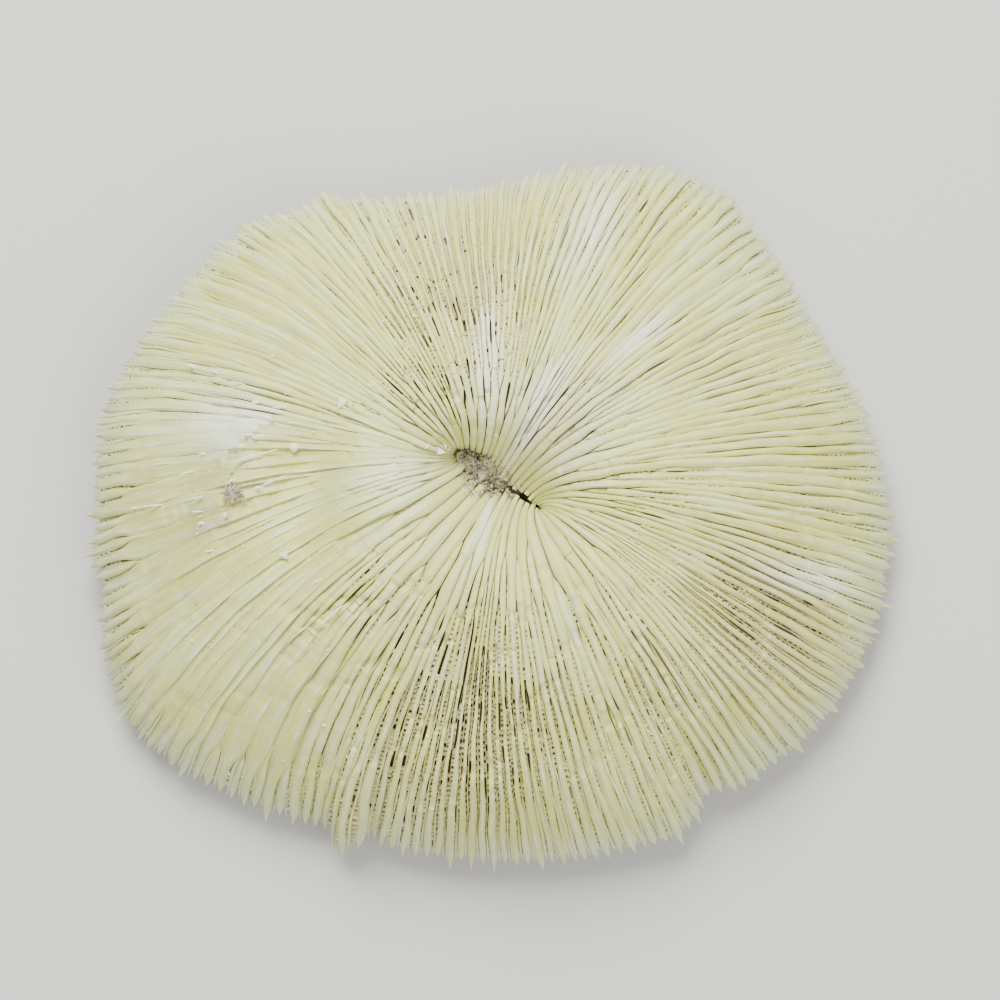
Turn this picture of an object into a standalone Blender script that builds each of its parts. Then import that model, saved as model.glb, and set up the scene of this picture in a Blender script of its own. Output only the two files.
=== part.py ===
"""Skeleton of a solitary mushroom coral: one ridged disc with a fossa, a toothed rim and a flat scar below."""

import math

import bmesh
import bpy
import numpy as np

# All sizes are in millimetres and all angles in degrees, counted from +X towards +Y.
METRES_PER_MM = 0.001
RIDGES = 96
SEED = 41

# Radius of the rim about the middle of the disc, every 15 degrees.
RIM_RADII = (
    59.3, 57.5, 55.7, 57.2, 58.4, 53.6, 48.9, 49.0, 53.4, 56.7, 58.0, 59.8,
    59.5, 60.9, 62.8, 58.1, 53.5, 52.2, 51.9, 53.1, 54.9, 55.5, 58.6, 59.4,
)
# Height of the rim's lower edge above the ground, every 30 degrees.
RIM_LIFTS = (5.6, 6.4, 6.6, 6.0, 6.6, 7.2, 6.6, 5.4, 4.6, 4.4, 4.8, 5.2)
# Lobes and notches of the rim: angle, half width in degrees and how far each stands out.
RIM_LOBES = (
    (53.0, 2.4, 0.9),
    (118.0, 1.6, 1.6),
    (130.0, 3.0, 1.0),
    (191.0, 2.0, -1.0),
    (245.5, 2.2, 2.8),
    (249.5, 1.6, -1.2),
    (299.0, 2.6, 0.8),
    (307.5, 3.4, -2.2),
)
# Moves the outline so that the middle of its box is the middle of the frame.
OUTLINE_SHIFT = (0.1, -0.1)

# The fossa is a slot, and every ridge leaves it along a curve of one family around its two ends.
FOSSA_CENTRE = (0.8, 4.8)
FOSSA_TURN = -33.7
FOSSA_HALF_LENGTH = 7.4
FOSSA_HALF_WIDTH = 1.5
# How far a ridge has turned about the fossa, every 15 degrees of the rim: halfway in and at its inner end.
TURNS_HALFWAY = (
    3, 3, 4, 4, 3, 2, 0, -1, -2, -4, -5, -5,
    -6, -7, -10, -9, -7, -2, -2, -1, 3, 5, 3, 3,
)
TURNS_INSIDE = (
    7, 9, 9, 7, 3, -1, -5, -5, -3, -3, -3, -5,
    -14, -22, -25, -15, -7, -3, -4, 1, 11, 16, 12, 9,
)

# Across the disc from the fossa to the rim: share of the way, height of the ridges, depth of the grooves.
TOP_STATIONS = (
    (0.00, 18.0, 0.4),
    (0.03, 22.5, 0.8),
    (0.07, 26.5, 1.2),
    (0.12, 29.0, 1.7),
    (0.18, 30.4, 2.1),
    (0.25, 31.0, 2.5),
    (0.33, 30.8, 2.9),
    (0.42, 29.8, 3.1),
    (0.52, 28.0, 3.2),
    (0.62, 25.6, 3.1),
    (0.71, 23.0, 2.9),
    (0.80, 19.8, 2.6),
    (0.88, 16.2, 2.2),
    (0.94, 12.9, 1.8),
)
RIM_THICKNESS = 2.6
RIM_GROOVE = 1.0
TOOTH_LENGTH = 0.7
RIDGE_UNEVENNESS = 0.35

# Humps and hollows of the upper face: x, y, half length, half width, direction, height.
SWELLINGS = (
    (-35.5, 8.0, 13.0, 5.0, 63.0, 3.0),
    (-25.5, 4.0, 12.0, 4.5, 82.0, -2.6),
    (-13.0, 5.5, 8.0, 5.0, 8.0, 1.4),
    (28.0, 32.0, 18.0, 8.0, 48.0, 1.6),
    (29.5, -23.0, 12.0, 6.0, -40.0, 1.5),
    (41.5, -18.0, 12.0, 3.5, -58.0, -1.5),
    (-5.0, -24.0, 12.0, 9.0, -80.0, -1.2),
    (4.0, -40.0, 14.0, 7.0, -5.0, 1.2),
)

# From the rim to the scar below: share of the way, share of the rim's lift, depth of the ribs.
UNDER_STATIONS = (
    (0.00, 1.00, 0.9),
    (0.07, 0.84, 0.8),
    (0.18, 0.62, 0.7),
    (0.34, 0.38, 0.5),
    (0.54, 0.18, 0.4),
    (0.78, 0.08, 0.2),
)
SCAR_RADII = (13.5, 12.5, 13.0, 14.0, 13.0, 12.0, 12.5, 13.5)

SKELETON_COLOUR = (0.72, 0.71, 0.56, 1.0)
SKELETON_ROUGHNESS = 0.6


def clear_scene():
    for scene_object in list(bpy.data.objects):
        bpy.data.objects.remove(scene_object, do_unlink=True)


def around(values, degrees):
    """Smooth closed curve through values that are evenly spaced around the disc."""
    values = np.asarray(values, float)
    count = len(values)
    place = np.asarray(degrees, float) % 360.0 / 360.0 * count
    first = np.floor(place).astype(int)
    part = place - first
    before = values[(first - 1) % count]
    here = values[first % count]
    after = values[(first + 1) % count]
    beyond = values[(first + 2) % count]
    bend = 2.0 * before - 5.0 * here + 4.0 * after - beyond
    twist = 3.0 * (here - after) + beyond - before
    return here + 0.5 * part * (after - before + part * (bend + part * twist))


def rim_radius(degrees):
    radius = around(RIM_RADII, degrees)
    for angle, half_width, height in RIM_LOBES:
        away = (degrees - angle + 180.0) % 360.0 - 180.0
        radius = radius + height * np.exp(-((away / half_width) ** 2))
    return radius


def relief(x, y):
    """Height that the humps and hollows add at a place."""
    total = np.zeros_like(x)
    for middle_x, middle_y, half_length, half_width, direction, height in SWELLINGS:
        turn = math.radians(direction)
        along = (x - middle_x) * math.cos(turn) + (y - middle_y) * math.sin(turn)
        across = (y - middle_y) * math.cos(turn) - (x - middle_x) * math.sin(turn)
        total += height * np.exp(-((along / half_length) ** 2) - (across / half_width) ** 2)
    return total


def slot_coordinates(x, y):
    """Distance from the fossa and angle around it, in the family of ellipses that share its ends."""
    turn = math.radians(FOSSA_TURN)
    away_x = x - FOSSA_CENTRE[0]
    away_y = y - FOSSA_CENTRE[1]
    along = away_x * math.cos(turn) + away_y * math.sin(turn)
    across = away_y * math.cos(turn) - away_x * math.sin(turn)
    to_first = np.hypot(along + FOSSA_HALF_LENGTH, across)
    to_second = np.hypot(along - FOSSA_HALF_LENGTH, across)
    long_half = (to_first + to_second) / 2.0
    short_half = np.sqrt(long_half**2 - FOSSA_HALF_LENGTH**2)
    return short_half, np.arctan2(across / short_half, along / long_half)


def slot_place(short_half, angle):
    """Place at a distance from the fossa and an angle around it."""
    turn = math.radians(FOSSA_TURN)
    along = np.hypot(short_half, FOSSA_HALF_LENGTH) * np.cos(angle)
    across = short_half * np.sin(angle)
    x = FOSSA_CENTRE[0] + along * math.cos(turn) - across * math.sin(turn)
    y = FOSSA_CENTRE[1] + along * math.sin(turn) + across * math.cos(turn)
    return x, y


def ridge_lines(rim_x, rim_y, share):
    """Places at a share of the way from the fossa to the given rim points."""
    short_half, angle = slot_coordinates(rim_x, rim_y)
    rim_angle = np.degrees(angle) + FOSSA_TURN
    halfway = around(TURNS_HALFWAY, rim_angle)
    inside = around(TURNS_INSIDE, rim_angle)
    inward = 1.0 - share
    turn = (4.0 * halfway - inside) * inward + (2.0 * inside - 4.0 * halfway) * inward**2
    distance = FOSSA_HALF_WIDTH + (short_half - FOSSA_HALF_WIDTH) * share
    return slot_place(distance, angle + np.radians(turn))


def make_corallum():
    chance = np.random.default_rng(SEED)
    count = 2 * RIDGES
    degrees = np.arange(count) * 360.0 / count
    on_ridge = (np.arange(count) % 2 == 0).astype(float)
    uneven = RIDGE_UNEVENNESS * chance.uniform(-1.0, 1.0, count) * on_ridge
    teeth = TOOTH_LENGTH * (2.0 * on_ridge - 1.0) + 1.5 * uneven
    radius = rim_radius(degrees) + teeth
    rim_x = radius * np.cos(np.radians(degrees)) + OUTLINE_SHIFT[0]
    rim_y = radius * np.sin(np.radians(degrees)) + OUTLINE_SHIFT[1]
    lift = around(RIM_LIFTS, degrees)

    rings = []
    for share, height, groove in TOP_STATIONS:
        x, y = ridge_lines(rim_x, rim_y, share)
        fade = min(1.0, share / 0.2)
        tilt = share**6 * (lift - 5.5)
        z = height + fade * (relief(x, y) + uneven) + tilt - groove * (1.0 - on_ridge)
        rings.append((x, y, z))
    rings.append((rim_x, rim_y, lift + RIM_THICKNESS + 0.5 * uneven - RIM_GROOVE * (1.0 - on_ridge)))

    scar_radius = around(SCAR_RADII, degrees)
    scar_x = scar_radius * np.cos(np.radians(degrees))
    scar_y = scar_radius * np.sin(np.radians(degrees))
    for share, lift_share, rib in UNDER_STATIONS:
        x = rim_x + (scar_x - rim_x) * share
        y = rim_y + (scar_y - rim_y) * share
        z = lift * lift_share + rib * (1.0 - on_ridge)
        rings.append((x, y, z))
    rings.append((scar_x, scar_y, np.zeros(count)))

    shape = bmesh.new()
    loops = []
    for x, y, z in rings:
        places = np.stack((x, y, z), 1) * METRES_PER_MM
        loops.append([shape.verts.new(place) for place in places.tolist()])
    for upper, lower in zip(loops, loops[1:]):
        for index in range(count):
            following = (index + 1) % count
            corners = (upper[index], lower[index], lower[following], upper[following])
            if index % 2 == 0:
                shape.faces.new((corners[0], corners[1], corners[2]))
                shape.faces.new((corners[0], corners[2], corners[3]))
            else:
                shape.faces.new((corners[0], corners[1], corners[3]))
                shape.faces.new((corners[1], corners[2], corners[3]))
    shape.faces.new(loops[0])
    shape.faces.new(list(reversed(loops[-1])))
    bmesh.ops.triangulate(shape, faces=[face for face in shape.faces if len(face.verts) > 4])
    bmesh.ops.recalc_face_normals(shape, faces=shape.faces)

    mesh = bpy.data.meshes.new("corallum")
    shape.to_mesh(mesh)
    shape.free()
    corallum = bpy.data.objects.new("corallum", mesh)
    bpy.context.scene.collection.objects.link(corallum)
    return corallum


def skeleton_material():
    material = bpy.data.materials.new("coral_skeleton")
    material.use_nodes = True
    surface = material.node_tree.nodes["Principled BSDF"]
    surface.inputs["Base Color"].default_value = SKELETON_COLOUR
    surface.inputs["Roughness"].default_value = SKELETON_ROUGHNESS
    return material


clear_scene()
corallum = make_corallum()
corallum.data.materials.append(skeleton_material())
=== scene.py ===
"""Skeleton of a solitary mushroom coral, with every septum, bar and spine in its place."""

import math
from types import SimpleNamespace

import bpy
import numpy as np
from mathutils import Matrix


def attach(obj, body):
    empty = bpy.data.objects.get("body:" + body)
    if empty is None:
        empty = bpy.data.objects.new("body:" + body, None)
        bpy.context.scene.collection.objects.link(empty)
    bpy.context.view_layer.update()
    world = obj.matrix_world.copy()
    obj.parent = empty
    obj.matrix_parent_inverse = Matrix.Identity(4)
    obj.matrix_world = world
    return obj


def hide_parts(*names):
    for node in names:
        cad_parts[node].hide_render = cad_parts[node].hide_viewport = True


bl_info = {
    "name": "Mushroom Coral Skeleton",
    "version": (1, 0, 0),
    "blender": (4, 5, 0),
    "location": "3D View > Sidebar > Mushroom Coral",
    "description": "Builds the bleached skeleton of a solitary mushroom coral on its packed solid",
    "category": "Add Mesh",
}

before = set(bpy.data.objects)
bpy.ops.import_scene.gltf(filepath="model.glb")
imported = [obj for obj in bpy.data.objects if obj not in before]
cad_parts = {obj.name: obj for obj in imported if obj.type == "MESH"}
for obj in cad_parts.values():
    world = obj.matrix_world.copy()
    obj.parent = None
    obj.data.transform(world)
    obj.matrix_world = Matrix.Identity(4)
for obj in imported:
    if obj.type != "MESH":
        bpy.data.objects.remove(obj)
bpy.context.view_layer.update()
MM = 0.001

# The form of the disc, in millimetres and in degrees from +X towards +Y, as in the solid.
RIM_RADII = (
    59.3, 57.5, 55.7, 57.2, 58.4, 53.6, 48.9, 49.0, 53.4, 56.7, 58.0, 59.8,
    59.5, 60.9, 62.8, 58.1, 53.5, 52.2, 51.9, 53.1, 54.9, 55.5, 58.6, 59.4,
)
RIM_LIFTS = (5.6, 6.4, 6.6, 6.0, 6.6, 7.2, 6.6, 5.4, 4.6, 4.4, 4.8, 5.2)
RIM_LOBES = (
    (53.0, 2.4, 0.9),
    (118.0, 1.6, 1.6),
    (130.0, 3.0, 1.0),
    (191.0, 2.0, -1.0),
    (245.5, 2.2, 2.8),
    (249.5, 1.6, -1.2),
    (299.0, 2.6, 0.8),
    (307.5, 3.4, -2.2),
)
OUTLINE_SHIFT = (0.1, -0.1)
FOSSA_CENTRE = (0.8, 4.8)
FOSSA_TURN = -33.7
FOSSA_HALF_LENGTH = 7.4
FOSSA_HALF_WIDTH = 1.5
TURNS_HALFWAY = (
    3, 3, 4, 4, 3, 2, 0, -1, -2, -4, -5, -5,
    -6, -7, -10, -9, -7, -2, -2, -1, 3, 5, 3, 3,
)
TURNS_INSIDE = (
    7, 9, 9, 7, 3, -1, -5, -5, -3, -3, -3, -5,
    -14, -22, -25, -15, -7, -3, -4, 1, 11, 16, 12, 9,
)
CREST_STATIONS = (
    (0.00, 21.2),
    (0.03, 23.4),
    (0.07, 26.5),
    (0.12, 29.0),
    (0.18, 30.4),
    (0.25, 31.0),
    (0.33, 30.8),
    (0.42, 29.8),
    (0.52, 28.0),
    (0.62, 25.6),
    (0.71, 23.0),
    (0.80, 19.8),
    (0.88, 16.2),
    (0.94, 12.9),
    (1.00, 8.1),
)
MEAN_LIFT = 5.5
SWELLINGS = (
    (-35.5, 8.0, 13.0, 5.0, 63.0, 3.0),
    (-25.5, 4.0, 12.0, 4.5, 82.0, -2.6),
    (-13.0, 5.5, 8.0, 5.0, 8.0, 1.4),
    (28.0, 32.0, 18.0, 8.0, 48.0, 1.6),
    (29.5, -23.0, 12.0, 6.0, -40.0, 1.5),
    (41.5, -18.0, 12.0, 3.5, -58.0, -1.5),
    (-5.0, -24.0, 12.0, 9.0, -80.0, -1.2),
    (4.0, -40.0, 14.0, 7.0, -5.0, 1.2),
)
UNDER_STATIONS = ((0.0, 1.0), (0.07, 0.84), (0.18, 0.62), (0.34, 0.38), (0.54, 0.18), (0.78, 0.08), (1.0, 0.0))
SCAR_RADII = (13.5, 12.5, 13.0, 14.0, 13.0, 12.0, 12.5, 13.5)

# Septa stand in orders: 48 reach the fossa, then 48, 96 and 192 more begin between them further out.
SEPTA = 384
SEPTUM_STEP = 360.0 / SEPTA
# For each order: share of the way where it begins, how much lower it is, its thickness and its teeth at the rim.
ORDER_STARTS = {4: -0.005, 5: 0.13, 6: 0.27, 7: 0.47}
ORDER_DROPS = {4: 0.0, 5: 0.08, 6: 0.18, 7: 0.60}
ORDER_WEIGHTS = {4: 1.30, 5: 1.20, 6: 1.0, 7: 0.38}
ORDER_TEETH = {4: 1.5, 5: 1.3, 6: 0.8, 7: 0.4}
# For each order: name, first septum, step, half of the stations along a blade, cuts along its top and seed.
ORDER_BLADES = {
    4: ("septa_first_orders", 0, 8, 66, 3, 3),
    5: ("septa_fifth_order", 4, 8, 66, 3, 4),
    6: ("septa_sixth_order", 2, 4, 50, 3, 5),
    7: ("septa_seventh_order", 1, 2, 36, 1, 6),
}
# Mean way from the fossa to the rim, share of the way where the underside begins, and ribs and spines on it.
MEAN_REACH = 50.0
RIM_SHARE = 0.985
RIBS = 192
SPINE_ROWS = 17.0
# Between which septa the small bars stand: step between the two, first and last share of the way.
BAR_ROWS = ((8, 0.08, 0.15), (4, 0.16, 0.29), (2, 0.30, 0.49), (1, 0.51, 0.985))
# Length that the bars are shared out over, share of the way where the outer ones begin, and pits without bars.
BAR_REACH = 52.0
BAR_SPLIT = 0.74
PIT_COUNT = 130
# Sizes of the view in metres: how much it shows across at the height of the rim, and where its middle lies.
VIEW_WIDTH = 0.150
RIM_HEIGHT = 0.007
VIEW_MIDDLE = (0.00105, 0.00195)
SENSOR_WIDTH = 36.0

# Where the gaps between the septa stand open: x, y, half length, half width, direction, strength.
OPEN_ZONES = (
    (-2.0, 18.0, 13.0, 8.0, 95.0, 0.6),
    (-8.0, 33.0, 14.0, 8.0, 103.0, 0.75),
    (2.0, 33.0, 13.0, 5.0, 90.0, 0.5),
    (13.0, 16.0, 12.0, 6.5, 48.0, 0.6),
    (19.0, 3.0, 10.0, 5.0, 5.0, 0.6),
    (-12.0, 17.0, 8.0, 6.0, 130.0, 0.65),
    (-20.0, -12.0, 12.0, 5.5, 38.0, 0.9),
    (-3.0, -23.0, 18.0, 11.0, 85.0, 0.85),
    (-13.0, -36.0, 15.0, 9.0, 72.0, 0.75),
    (3.0, -36.0, 12.0, 8.0, 92.0, 0.5),
    (38.0, -16.0, 16.0, 8.0, -35.0, 0.65),
    (24.0, -32.0, 15.0, 8.0, -58.0, 0.5),
    (17.0, -16.0, 12.0, 7.0, -50.0, 0.3),
    (49.0, 3.0, 9.0, 6.0, 0.0, 0.25),
    (19.0, 41.0, 14.0, 8.0, 62.0, 0.3),
    (38.0, 27.0, 12.0, 8.0, 38.0, 0.3),
    (-14.0, 43.0, 10.0, 6.0, 108.0, 0.3),
    (46.0, -13.0, 9.0, 6.0, -30.0, 0.35),
    (-35.0, 33.0, 10.0, 7.0, 138.0, 0.2),
)
# Where the main septa lean over the others like shingles, towards +angle where positive.
SHEET_ZONES = (
    (-38.0, -24.0, 21.0, 15.0, 50.0, 1.0),
    (-44.0, 2.0, 17.0, 14.0, 0.0, 0.75),
    (-22.0, 4.0, 13.0, 8.0, 0.0, 0.8),
    (-34.0, 30.0, 19.0, 13.0, 135.0, -0.55),
    (30.0, 33.0, 20.0, 15.0, 45.0, 0.4),
    (43.0, 4.0, 15.0, 13.0, 0.0, 0.3),
)
# Where crests are chipped and rough.
CHIP_ZONES = (
    (24.6, -23.5, 6.5, 1.1, -58.0, 1.0),
    (17.0, -29.0, 5.5, 1.0, -66.0, 0.9),
    (-34.0, 2.0, 8.0, 1.6, 12.0, 0.8),
    (-45.0, 0.5, 6.0, 1.0, 4.0, 0.7),
    (-41.0, 19.5, 5.0, 1.2, 165.0, 0.7),
    (-22.0, -14.0, 7.0, 1.6, 38.0, 0.8),
    (-30.0, -21.0, 12.0, 1.0, 50.0, 0.5),
    (27.0, 26.5, 5.0, 0.8, 38.0, 0.7),
    (21.0, 34.0, 7.0, 1.0, 55.0, 0.6),
    (35.0, 34.0, 7.0, 1.2, 45.0, 0.6),
    (12.0, 42.0, 6.0, 0.9, 70.0, 0.5),
    (-17.0, 41.0, 5.0, 1.0, 115.0, 0.5),
)
# A ledge in the west, where the outer part of the sheets stands higher: ends of its edge.
LEDGE = ((-31.0, 13.4), (-39.0, 7.4))
# Brown stain in the gaps, a patch of painted shade in the hollow beside the ledge, and places where the crests are
# worn white.
STAIN_AND_SHADE_ZONES = (
    (40.0, -17.0, 17.0, 9.0, -40.0, 1.0),
    (-4.0, 38.0, 12.0, 6.0, 95.0, 0.35),
    (-6.0, -30.0, 18.0, 14.0, 85.0, 0.4),
    (8.0, 12.0, 10.0, 6.0, 40.0, 0.8),
    (-47.0, -2.0, 12.0, 8.0, 10.0, 0.35),
    (-51.0, 5.5, 2.8, 0.8, 0.0, 0.9),
    (-41.0, -1.5, 3.0, 2.2, 30.0, 0.8),
    (-57.5, 16.0, 1.8, 1.5, 40.0, 1.0),
    (2.5, 48.0, 3.0, 2.0, 90.0, 0.9),
    # Painted shade: the hollow beside the ledge is darkened in colour.
    (-27.0, 11.0, 5.0, 2.6, 18.0, 0.6),
    (0.4, 2.0, 0.9, 0.6, 60.0, 1.5),
    (2.3, 0.7, 0.8, 0.6, 0.0, 1.5),
)
WORN_ZONES = (
    (-0.6, 24.5, 7.0, 1.6, 92.0, 1.0),
    (7.5, 17.0, 5.0, 1.8, 62.0, 1.0),
    (14.5, 41.0, 9.0, 3.5, 70.0, 0.7),
    (46.0, -9.5, 6.5, 2.2, -12.0, 0.9),
    (-38.5, 13.0, 7.0, 3.5, 8.0, 0.6),
    (4.3, 10.2, 4.0, 0.7, 53.0, 1.2),
    (-1.2, -1.5, 4.0, 0.6, 74.0, 0.9),
    (22.0, 26.0, 6.0, 1.2, 38.0, 0.8),
    (-14.0, 5.5, 6.0, 3.0, 10.0, 0.6),
    (12.0, 14.5, 9.0, 6.0, 45.0, 0.35),
    (0.0, 20.0, 8.0, 5.0, 90.0, 0.25),
)
# Loose crumbs and chips: x, y, length, width, direction, and 1 for white or 0 for grey.
CRUMBS = (
    (-21.4, 15.7, 0.9, 0.75, 20.0, 1.0),
    (-28.3, 9.5, 1.05, 0.7, 15.0, 1.0),
    (-29.7, -5.9, 0.8, 0.7, 60.0, 0.7),
    (-38.2, -0.2, 0.5, 0.65, 90.0, 1.0),
    (-36.8, 4.8, 0.6, 0.35, 10.0, 1.0),
    (-43.5, -18.4, 0.4, 0.3, 30.0, 1.0),
    (-26.4, -28.4, 0.3, 0.25, 0.0, 1.0),
    (-7.6, 8.9, 0.95, 0.45, -25.0, 1.0),
    (-9.3, 9.6, 0.5, 0.35, 30.0, 1.0),
    (-6.3, 9.3, 0.45, 0.35, 30.0, 1.0),
    (-5.6, 10.0, 0.6, 0.25, 60.0, 1.0),
    (-6.9, 9.9, 0.7, 0.2, -50.0, 1.0),
    (-12.0, 30.2, 0.45, 0.3, 10.0, 1.0),
    (-11.2, 28.2, 0.4, 0.3, 30.0, 1.0),
    (-41.8, -1.4, 0.5, 0.3, 10.0, 1.0),
    (-33.7, 15.9, 0.7, 0.35, 0.0, 1.0),
    (-31.5, 22.6, 0.4, 0.3, 0.0, 1.0),
    # Slivers of fresh break along the crests in the west.
    (-34.6, 7.9, 2.2, 0.36, 15.0, 1.0),
    (-31.4, 8.9, 1.6, 0.14, 14.0, 1.0),
    (-33.4, 3.7, 1.0, 0.30, 12.0, 1.0),
    (-31.2, 4.7, 2.0, 0.16, 22.0, 1.0),
    (-42.2, 2.2, 3.4, 0.17, 7.0, 1.0),
    (-48.6, 1.2, 2.6, 0.20, 4.0, 1.0),
    (-52.0, 0.9, 1.4, 0.22, 8.0, 1.0),
    (-42.5, 0.3, 1.6, 0.12, 5.0, 1.0),
    (-42.8, 21.2, 2.0, 0.28, -14.0, 1.0),
    (-39.6, 20.2, 1.2, 0.20, -28.0, 1.0),
    (-36.0, 18.6, 2.6, 0.16, -16.0, 0.9),
    (-30.2, 15.2, 0.9, 0.24, 0.0, 1.0),
    (-28.6, 12.9, 1.4, 0.12, -4.0, 0.9),
    (-41.6, 8.6, 0.7, 0.20, -8.0, 1.0),
    (-43.6, 6.0, 2.0, 0.12, 8.0, 0.8),
    (-35.9, 21.7, 1.8, 0.12, -20.0, 0.9),
    (-40.4, -5.3, 0.9, 0.14, 4.0, 0.9),
    (-24.6, -9.4, 2.2, 0.18, 30.0, 0.9),
    (-22.5, -14.0, 1.8, 0.16, 42.0, 0.9),
)


def deselect_all():
    if bpy.context.mode != "OBJECT":
        bpy.ops.object.mode_set(mode="OBJECT")
    bpy.ops.object.select_all(action="DESELECT")


def around(values, degrees):
    """Smooth closed curve through values that are evenly spaced around the disc."""
    values = np.asarray(values, float)
    count = len(values)
    place = np.asarray(degrees, float) % 360.0 / 360.0 * count
    first = np.floor(place).astype(int)
    part = place - first
    before = values[(first - 1) % count]
    here = values[first % count]
    after = values[(first + 1) % count]
    beyond = values[(first + 2) % count]
    bend = 2.0 * before - 5.0 * here + 4.0 * after - beyond
    twist = 3.0 * (here - after) + beyond - before
    return here + 0.5 * part * (after - before + part * (bend + part * twist))


def between(stations, share):
    """Smooth curve through the stations of a profile."""
    places = np.array([station[0] for station in stations])
    heights = np.array([station[1] for station in stations])
    slopes = np.gradient(heights, places)
    share = np.clip(share, places[0], places[-1])
    first = np.clip(np.searchsorted(places, share, side="right") - 1, 0, len(places) - 2)
    width = places[first + 1] - places[first]
    part = (share - places[first]) / width
    rise = heights[first + 1] - heights[first]
    start = width * slopes[first]
    end = width * slopes[first + 1]
    bend = 3.0 * rise - 2.0 * start - end + part * (start + end - 2.0 * rise)
    return heights[first] + part * (start + part * bend)


def saturate(value):
    """Keeps a value between 0 and 1."""
    return np.clip(value, 0.0, 1.0)


def smooth_step(low, high, value):
    part = saturate((value - low) / (high - low))
    return part * part * (3.0 - 2.0 * part)


def turn_plan(x, y, turn):
    """Turns places in plan about the origin, by an angle in radians."""
    return x * math.cos(turn) - y * math.sin(turn), x * math.sin(turn) + y * math.cos(turn)


def zones(table, x, y):
    """Sum of soft spots at a place."""
    total = np.zeros(np.broadcast(x, y).shape)
    for middle_x, middle_y, half_length, half_width, direction, strength in table:
        along, across = turn_plan(x - middle_x, y - middle_y, -math.radians(direction))
        total += strength * np.exp(-((along / half_length) ** 2) - (across / half_width) ** 2)
    return total


def within(table, x, y):
    """How far a place lies within soft spots, from 0 to 1."""
    return saturate(zones(table, x, y))


def rim_radius(degrees):
    radius = around(RIM_RADII, degrees)
    for angle, half_width, height in RIM_LOBES:
        away = (degrees - angle + 180.0) % 360.0 - 180.0
        radius = radius + height * np.exp(-((away / half_width) ** 2))
    return radius


def septum_line(degrees, share):
    """Place in plan at a share of the way from the fossa to the rim, on the line that ends at this angle."""
    radius = rim_radius(degrees)
    turn = math.radians(FOSSA_TURN)
    away_x = radius * np.cos(np.radians(degrees)) + OUTLINE_SHIFT[0] - FOSSA_CENTRE[0]
    away_y = radius * np.sin(np.radians(degrees)) + OUTLINE_SHIFT[1] - FOSSA_CENTRE[1]
    along, across = turn_plan(away_x, away_y, -turn)
    long_half = (np.hypot(along + FOSSA_HALF_LENGTH, across) + np.hypot(along - FOSSA_HALF_LENGTH, across)) / 2.0
    short_half = np.sqrt(long_half**2 - FOSSA_HALF_LENGTH**2)
    angle = np.arctan2(across / short_half, along / long_half)
    halfway = around(TURNS_HALFWAY, np.degrees(angle) + FOSSA_TURN)
    inside = around(TURNS_INSIDE, np.degrees(angle) + FOSSA_TURN)
    inward = 1.0 - share
    sweep = (4.0 * halfway - inside) * inward + (2.0 * inside - 4.0 * halfway) * inward**2
    angle = angle + np.radians(sweep)
    distance = FOSSA_HALF_WIDTH + (short_half - FOSSA_HALF_WIDTH) * share
    x, y = turn_plan(np.hypot(distance, FOSSA_HALF_LENGTH) * np.cos(angle), distance * np.sin(angle), turn)
    return FOSSA_CENTRE[0] + x, FOSSA_CENTRE[1] + y


def under_place(degrees, inward):
    """Place in plan on the underside, at a share of the way from the rim to the scar."""
    rim_x, rim_y = septum_line(degrees, RIM_SHARE)
    scar = around(SCAR_RADII, degrees)
    scar_x = scar * np.cos(np.radians(degrees))
    scar_y = scar * np.sin(np.radians(degrees))
    return rim_x + (scar_x - rim_x) * inward, rim_y + (scar_y - rim_y) * inward


def crest_height(x, y, degrees, share):
    """Height of the tops of the main septa."""
    fade = saturate(share / 0.2) * (1.0 - smooth_step(0.9, 1.0, share))
    tilt = saturate(share) ** 6 * (around(RIM_LIFTS, degrees) - MEAN_LIFT)
    beyond = saturate(share - 1.0) * 70.0
    return between(CREST_STATIONS, share) + fade * zones(SWELLINGS, x, y) + tilt - beyond


def ledge_height(x, y):
    """Extra height of the sheets beyond the ledge, which runs out towards the rim."""
    (first_x, first_y), (last_x, last_y) = LEDGE
    length = math.hypot(last_x - first_x, last_y - first_y)
    along_x = (last_x - first_x) / length
    along_y = (last_y - first_y) / length
    along = (x - first_x) * along_x + (y - first_y) * along_y
    beyond = (x - first_x) * along_y - (y - first_y) * along_x
    beyond = beyond + 0.5 * np.sin(along * 2.1) + 0.3 * np.sin(along * 5.3)
    window = np.exp(-(((along - length / 2.0) / (0.62 * length)) ** 4))
    return 0.9 * smooth_step(-0.25, 0.25, beyond) * np.exp(-np.clip(beyond, 0.0, 60.0) / 9.0) * window


def under_height(degrees, share):
    """Height of the underside below a place on the upper face."""
    return around(RIM_LIFTS, degrees) * between(UNDER_STATIONS, 1.0 - saturate(share))


def floor_height(crest, x, y, degrees, share):
    """Height of the solid wall that the septa stand on: deep where the gaps are open."""
    opening = within(OPEN_ZONES, x, y)
    covered = np.abs(np.clip(zones(SHEET_ZONES, x, y), -1.0, 1.0))
    pit = 3.5 * np.exp(-((saturate(share + 0.025) / 0.04) ** 2))
    return np.maximum(crest - 1.1 - 0.9 * opening - 0.6 * covered - pit, under_height(degrees, share) + 0.5)


def wander(share, key, size):
    """A slow unevenness along a septum, different for each key."""
    key = np.asarray(key, float)
    first = np.sin(share * 9.0 + key * 12.9898)
    second = np.sin(share * 23.0 + key * 78.233)
    third = np.sin(share * 47.0 + key * 37.719)
    return size * (0.5 * first + 0.3 * second + 0.2 * third)


def order_of(index):
    """Order of a septum: 4 stands for the 48 first ones, which all reach the fossa."""
    return np.select([index % 8 == 0, index % 8 == 4, index % 4 == 2], [4, 5, 6], 7)


def drop_of(index):
    """How much lower a septum stands than the first ones, by its order."""
    return np.array([ORDER_DROPS[order] for order in (4, 5, 6, 7)])[order_of(index) - 4]


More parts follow.
